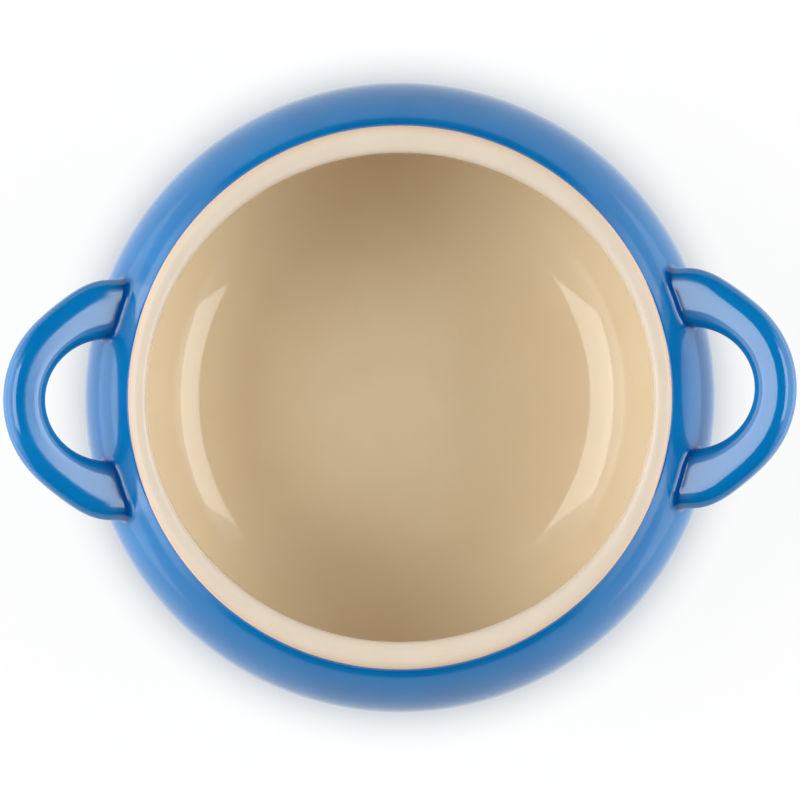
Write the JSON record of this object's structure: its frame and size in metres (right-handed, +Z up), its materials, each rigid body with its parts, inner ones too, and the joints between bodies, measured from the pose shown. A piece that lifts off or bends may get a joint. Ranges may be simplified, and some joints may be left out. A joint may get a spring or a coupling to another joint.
{
  "type": "mini cocotte",
  "caption": "Round-bellied stoneware mini cocotte without its lid: blue outside, cream inside and over the rim, with loop handles and a bare foot ring, for baking and serving single portions.",
  "frame": {"origin": "centre of the foot ring's standing face", "axes": "+X to the right handle, +Y to the rear, +Z up through the open mouth"},
  "size_m": [0.1308, 0.106, 0.0499],
  "materials": {
    "clay": "bare fired stoneware, matt",
    "slip": "fired clay slip, matt",
    "cream_glaze": "gloss cream glaze",
    "blue_glaze": "gloss blue glaze"
  },
  "bodies": {
    "root": {"bowl": "clay", "foot_ring": "clay", "interior_glaze": "cream_glaze", "exterior_glaze": "blue_glaze", "underside_glaze": "blue_glaze", "left_handle": "clay", "right_handle": "clay", "left_front_slip_joint": "slip", "left_rear_slip_joint": "slip", "right_front_slip_joint": "slip", "right_rear_slip_joint": "slip"}
  },
  "joints": []
}
